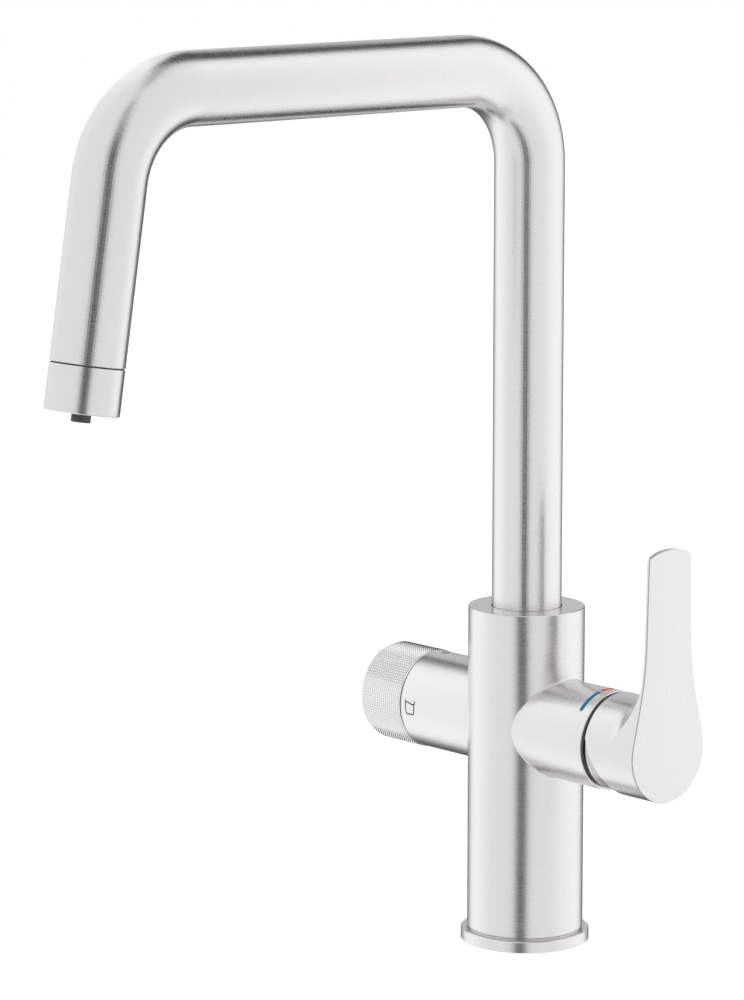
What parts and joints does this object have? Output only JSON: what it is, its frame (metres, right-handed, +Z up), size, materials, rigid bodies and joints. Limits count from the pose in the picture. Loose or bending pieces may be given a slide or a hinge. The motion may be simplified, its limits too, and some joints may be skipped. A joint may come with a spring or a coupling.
{
  "type": "filtered water kitchen tap",
  "caption": "Deck-mounted kitchen mixer with a swivelling square-bend spout, a mixing lever on the right and a knurled filtered water knob on the left.",
  "frame": {"origin": "centre of the base ring's underside, on the deck", "axes": "+Z up along the column; the spout reaches towards -Y; the mixing lever is at +X and the filtered water knob at -X"},
  "size_m": [0.1574, 0.2648, 0.4288],
  "materials": {
    "steel": "fine brushed, satin",
    "knurled_steel": "diamond knurled, satin",
    "brass": "machined",
    "inner_steel": "turned",
    "dark_plastic": "moulded, satin",
    "white_plastic": "moulded",
    "rubber": "matte",
    "ceramic": "lapped",
    "blue_enamel": "filled mark",
    "red_enamel": "filled mark",
    "grey_enamel": "filled mark"
  },
  "bodies": {
    "root": {"base_ring": "steel", "tap_body": "steel", "fixing_shank": "inner_steel", "steel_washer": "inner_steel", "clamp_screws": "inner_steel", "spout_clip": "inner_steel", "stop_screw": "inner_steel", "dome_shroud": "inner_steel", "waterway_block": "brass", "fixing_nut": "brass", "cartridge_nut": "brass", "valve_body": "brass", "base_gasket": "rubber", "rubber_washer": "rubber", "spigot_seals": "rubber", "nipple_seal": "rubber", "adapter_seals": "rubber", "cartridge_seals": "rubber", "valve_gasket": "rubber", "valve_seal": "rubber", "lower_glide_ring": "white_plastic", "port_adapter": "white_plastic", "cartridge_base": "white_plastic", "upper_glide_ring": "dark_plastic", "cartridge_housing": "dark_plastic", "collar_bush": "dark_plastic", "fixed_disc": "ceramic", "valve_fixed_disc": "ceramic", "cold_mark": "blue_enamel", "hot_mark": "red_enamel", "glass_symbol": "grey_enamel", "off_mark": "grey_enamel"},
    "spout": {"spout_tube": "steel", "outlet_cap": "steel", "spout_bearing": "brass", "hose_fitting": "brass", "outlet_body": "brass", "filtered_hose": "white_plastic", "outlet_seal": "rubber", "cap_gasket": "rubber", "aerator_seal": "rubber", "aerator_insert": "dark_plastic", "filtered_nozzle": "dark_plastic"},
    "lever_guide": {"stem_guide": "white_plastic", "pivot_pin": "inner_steel"},
    "mixing_disc": {"moving_disc": "ceramic", "disc_carrier": "white_plastic"},
    "lever": {"lever_handle": "steel", "lever_stem": "brass", "lever_screw": "inner_steel"},
    "filter_knob": {"filter_knob": "knurled_steel", "valve_spindle": "brass", "knob_insert": "dark_plastic", "knob_screw": "inner_steel", "spindle_clip": "inner_steel", "spindle_seal": "rubber", "valve_moving_disc": "ceramic"}
  },
  "joints": [
    {"name": "spout_swivel", "type": "hinge", "parent": "root", "child": "spout", "pos_m": [0, 0, 0.14], "axis": [0, 0, 1], "range_deg": [-75, 75]},
    {"name": "lever_turn", "type": "hinge", "parent": "root", "child": "lever_guide", "pos_m": [0.05, 0, 0.09025], "axis": [1, 0, 0], "range_deg": [-45, 45]},
    {"name": "lever_tilt", "type": "hinge", "parent": "lever_guide", "child": "lever", "pos_m": [0.05, 0, 0.09025], "axis": [0, 1, 0], "range_deg": [0, 22]},
    {"name": "mixer_slide", "type": "slide", "parent": "lever_guide", "child": "mixing_disc", "axis": [0, 0, 1], "range_m": [0, 0.00254]},
    {"name": "filter_turn", "type": "hinge", "parent": "root", "child": "filter_knob", "pos_m": [-0.05, 0, 0.09025], "axis": [1, 0, 0], "range_deg": [0, 90]}
  ],
  "couplings": [
    {"joint": "mixer_slide", "follows": "lever_tilt", "m_per_rad": 0.0066}
  ]
}
